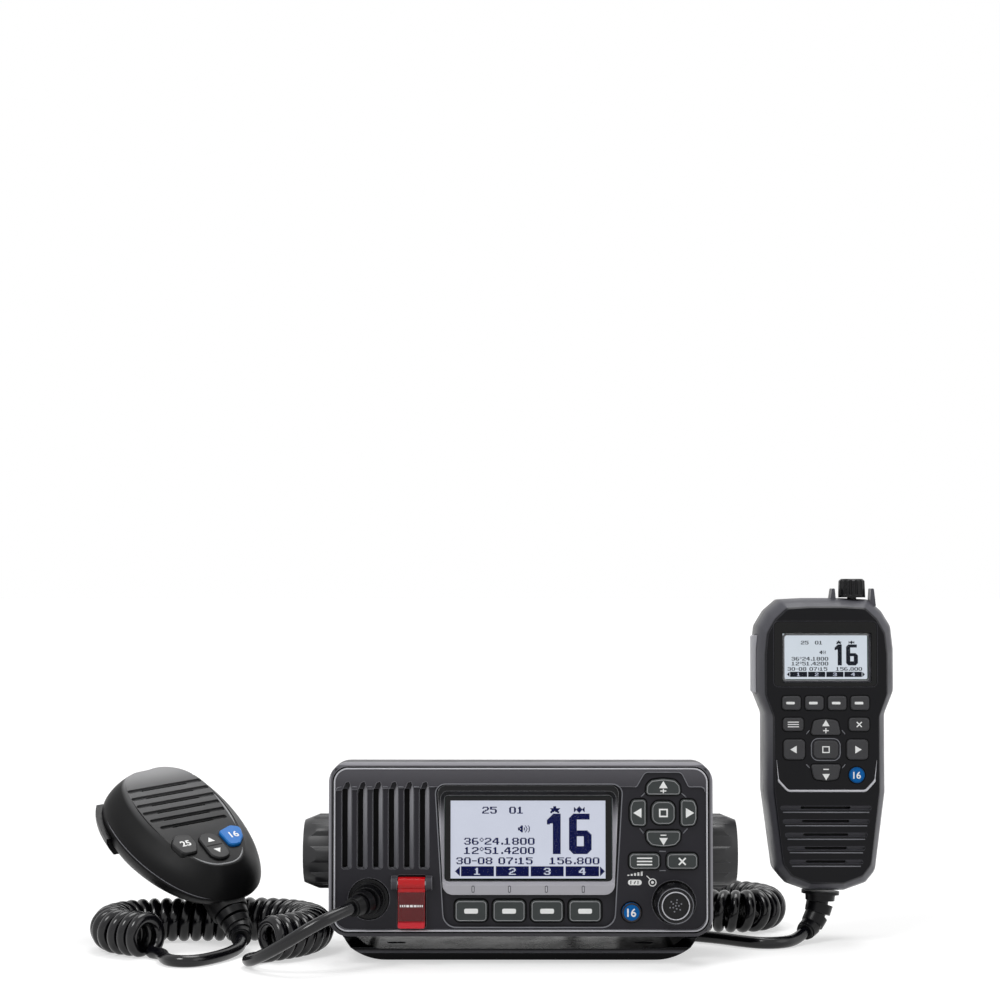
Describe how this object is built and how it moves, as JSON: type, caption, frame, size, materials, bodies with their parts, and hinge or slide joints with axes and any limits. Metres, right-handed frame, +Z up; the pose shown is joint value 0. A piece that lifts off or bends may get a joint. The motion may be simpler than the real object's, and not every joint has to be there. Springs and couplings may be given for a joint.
{
  "type": "vhf marine radio",
  "caption": "Fixed-mount marine VHF radio in a tilting U bracket, with a hand microphone and an upright remote handset on curly cords.",
  "frame": {"origin": "middle of the underside of the bracket's base, on the surface it stands on", "axes": "+X to the right seen from the front, +Y to the back, +Z up"},
  "size_m": [0.3501, 0.1664, 0.1576],
  "materials": {
    "charcoal_plastic": "satin",
    "dark_plastic": "satin",
    "key_rubber": "satin",
    "silver_frame": "satin",
    "clear_window": "gloss",
    "display_panel": "matt",
    "handset_display": "matt",
    "red_cover": "gloss",
    "red_key": "satin",
    "blue_key": "satin",
    "case_metal": "satin",
    "bracket_metal": "satin",
    "knob_plastic": "satin",
    "rubber_black": "satin",
    "cord_jacket": "gloss",
    "board_green": "satin",
    "steel": "brushed",
    "socket_metal": "gloss",
    "speaker_cone": "matt"
  },
  "bodies": {
    "stand": {"bracket": "bracket_metal", "hand_mic_front": "charcoal_plastic", "hand_mic_back": "dark_plastic", "hand_mic_boot": "rubber_black", "hand_mic_speaker": "speaker_cone", "hand_mic_board": "board_green", "handset_front": "dark_plastic", "handset_back": "dark_plastic", "handset_window": "clear_window", "handset_lcd": "handset_display", "handset_board": "board_green", "handset_speaker": "speaker_cone", "handset_boot": "rubber_black", "hand_mic_cord_lead": "cord_jacket", "hand_mic_cord_coil": "cord_jacket", "hand_mic_cord_tail": "cord_jacket", "handset_cord_lead": "cord_jacket", "handset_cord_coil": "cord_jacket", "handset_cord_tail": "cord_jacket"},
    "radio": {"rear_chassis": "case_metal", "front_panel": "charcoal_plastic", "case_seal": "rubber_black", "display_frame": "silver_frame", "display_window": "clear_window", "lcd_panel": "display_panel", "control_board": "board_green", "main_board": "board_green", "speaker": "speaker_cone", "microphone_cord_boot": "rubber_black", "case_screws": "steel", "rear_sockets": "socket_metal", "cover_hinge_pin": "steel"},
    "soft_key_1": {"soft_key_1": "key_rubber"},
    "soft_key_2": {"soft_key_2": "key_rubber"},
    "soft_key_3": {"soft_key_3": "key_rubber"},
    "soft_key_4": {"soft_key_4": "key_rubber"},
    "up_key": {"up_key": "key_rubber"},
    "down_key": {"down_key": "key_rubber"},
    "left_key": {"left_key": "key_rubber"},
    "right_key": {"right_key": "key_rubber"},
    "enter_key": {"enter_key": "key_rubber"},
    "menu_key": {"menu_key": "key_rubber"},
    "clear_key": {"clear_key": "key_rubber"},
    "channel_key": {"channel_key": "blue_key"},
    "distress_key": {"distress_key": "red_key"},
    "volume_encoder": {"volume_encoder": "steel"},
    "volume_knob": {"volume_knob": "knob_plastic"},
    "distress_cover": {"distress_cover": "red_cover"},
    "left_clamp_knob": {"left_clamp_knob": "knob_plastic"},
    "right_clamp_knob": {"right_clamp_knob": "knob_plastic"},
    "hand_mic_power_key": {"hand_mic_power_key": "key_rubber"},
    "hand_mic_channel_key": {"hand_mic_channel_key": "blue_key"},
    "hand_mic_rocker": {"hand_mic_rocker": "key_rubber"},
    "hand_mic_talk_key": {"hand_mic_talk_key": "rubber_black"},
    "handset_function_keys": {"handset_function_keys": "key_rubber"},
    "handset_arrow_keys": {"handset_arrow_keys": "key_rubber"},
    "handset_enter_key": {"handset_enter_key": "key_rubber"},
    "handset_channel_key": {"handset_channel_key": "blue_key"},
    "handset_talk_key": {"handset_talk_key": "rubber_black"},
    "handset_knob": {"handset_knob": "knob_plastic"}
  },
  "joints": [
    {"name": "tilt", "type": "hinge", "parent": "stand", "child": "radio", "pos_m": [0, 0.007, 0.042], "axis": [1, 0, 0], "range_deg": [-8, 10], "deforming": ["hand_mic_cord_lead", "handset_cord_tail"]},
    {"name": "soft_key_1_press", "type": "slide", "parent": "radio", "child": "soft_key_1", "axis": [0, 1, 0], "range_m": [0, 0.0008], "stiffness_N_per_m": 150},
    {"name": "soft_key_2_press", "type": "slide", "parent": "radio", "child": "soft_key_2", "axis": [0, 1, 0], "range_m": [0, 0.0008], "stiffness_N_per_m": 150},
    {"name": "soft_key_3_press", "type": "slide", "parent": "radio", "child": "soft_key_3", "axis": [0, 1, 0], "range_m": [0, 0.0008], "stiffness_N_per_m": 150},
    {"name": "soft_key_4_press", "type": "slide", "parent": "radio", "child": "soft_key_4", "axis": [0, 1, 0], "range_m": [0, 0.0008], "stiffness_N_per_m": 150},
    {"name": "up_key_press", "type": "slide", "parent": "radio", "child": "up_key", "axis": [0, 1, 0], "range_m": [0, 0.0008], "stiffness_N_per_m": 150},
    {"name": "down_key_press", "type": "slide", "parent": "radio", "child": "down_key", "axis": [0, 1, 0], "range_m": [0, 0.0008], "stiffness_N_per_m": 150},
    {"name": "left_key_press", "type": "slide", "parent": "radio", "child": "left_key", "axis": [0, 1, 0], "range_m": [0, 0.0008], "stiffness_N_per_m": 150},
    {"name": "right_key_press", "type": "slide", "parent": "radio", "child": "right_key", "axis": [0, 1, 0], "range_m": [0, 0.0008], "stiffness_N_per_m": 150},
    {"name": "enter_key_press", "type": "slide", "parent": "radio", "child": "enter_key", "axis": [0, 1, 0], "range_m": [0, 0.0008], "stiffness_N_per_m": 150},
    {"name": "menu_key_press", "type": "slide", "parent": "radio", "child": "menu_key", "axis": [0, 1, 0], "range_m": [0, 0.0008], "stiffness_N_per_m": 150},
    {"name": "clear_key_press", "type": "slide", "parent": "radio", "child": "clear_key", "axis": [0, 1, 0], "range_m": [0, 0.0008], "stiffness_N_per_m": 150},
    {"name": "channel_key_press", "type": "slide", "parent": "radio", "child": "channel_key", "axis": [0, 1, 0], "range_m": [0, 0.0008], "stiffness_N_per_m": 150},
    {"name": "distress_key_press", "type": "slide", "parent": "radio", "child": "distress_key", "axis": [0, 1, 0], "range_m": [0, 0.0008], "stiffness_N_per_m": 150},
    {"name": "volume_encoder_press", "type": "slide", "parent": "radio", "child": "volume_encoder", "axis": [0, 1, 0], "range_m": [0, 0.0008], "stiffness_N_per_m": 150},
    {"name": "volume_turn", "type": "hinge", "parent": "volume_encoder", "child": "volume_knob", "pos_m": [0.0623, -0.045, 0.0258], "axis": [0, 1, 0], "continuous": true},
    {"name": "cover_flip", "type": "hinge", "parent": "radio", "child": "distress_cover", "pos_m": [-0.04435, -0.0359, 0.0337], "axis": [-1, 0, 0], "range_deg": [0, 100]},
    {"name": "left_clamp_knob_turn", "type": "hinge", "parent": "radio", "child": "left_clamp_knob", "pos_m": [-0.0855, 0.007, 0.042], "axis": [1, 0, 0], "continuous": true},
    {"name": "right_clamp_knob_turn", "type": "hinge", "parent": "radio", "child": "right_clamp_knob", "pos_m": [0.0855, 0.007, 0.042], "axis": [1, 0, 0], "continuous": true},
    {"name": "hand_mic_power_key_press", "type": "slide", "parent": "stand", "child": "hand_mic_power_key", "axis": [-0.2497, 0.4673, -0.8481], "range_m": [0, 0.0008], "stiffness_N_per_m": 150},
    {"name": "hand_mic_channel_key_press", "type": "slide", "parent": "stand", "child": "hand_mic_channel_key", "axis": [-0.2497, 0.4673, -0.8481], "range_m": [0, 0.0008], "stiffness_N_per_m": 150},
    {"name": "hand_mic_rocker_tip", "type": "hinge", "parent": "stand", "child": "hand_mic_rocker", "pos_m": [-0.13249, 0.01973, 0.03952], "axis": [0.7877, 0.6074, 0.1026], "range_deg": [-1.2, 1.2], "stiffness_Nm_per_rad": 0.02},
    {"name": "hand_mic_talk_key_press", "type": "slide", "parent": "stand", "child": "hand_mic_talk_key", "axis": [0.7877, 0.6074, 0.1026], "range_m": [0, 0.0008], "stiffness_N_per_m": 150},
    {"name": "handset_function_keys_press", "type": "slide", "parent": "stand", "child": "handset_function_keys", "axis": [0, 1, 0], "range_m": [0, 0.0008], "stiffness_N_per_m": 150},
    {"name": "handset_arrow_keys_press", "type": "slide", "parent": "stand", "child": "handset_arrow_keys", "axis": [0, 1, 0], "range_m": [0, 0.0008], "stiffness_N_per_m": 150},
    {"name": "handset_enter_key_press", "type": "slide", "parent": "stand", "child": "handset_enter_key", "axis": [0, 1, 0], "range_m": [0, 0.0008], "stiffness_N_per_m": 150},
    {"name": "handset_channel_key_press", "type": "slide", "parent": "stand", "child": "handset_channel_key", "axis": [0, 1, 0], "range_m": [0, 0.0008], "stiffness_N_per_m": 150},
    {"name": "handset_talk_key_press", "type": "slide", "parent": "stand", "child": "handset_talk_key", "axis": [1, 0, 0], "range_m": [0, 0.001], "stiffness_N_per_m": 150},
    {"name": "handset_knob_turn", "type": "hinge", "parent": "stand", "child": "handset_knob", "pos_m": [0.1451, 0.031, 0.1535], "axis": [0, 0, 1], "continuous": true}
  ]
}
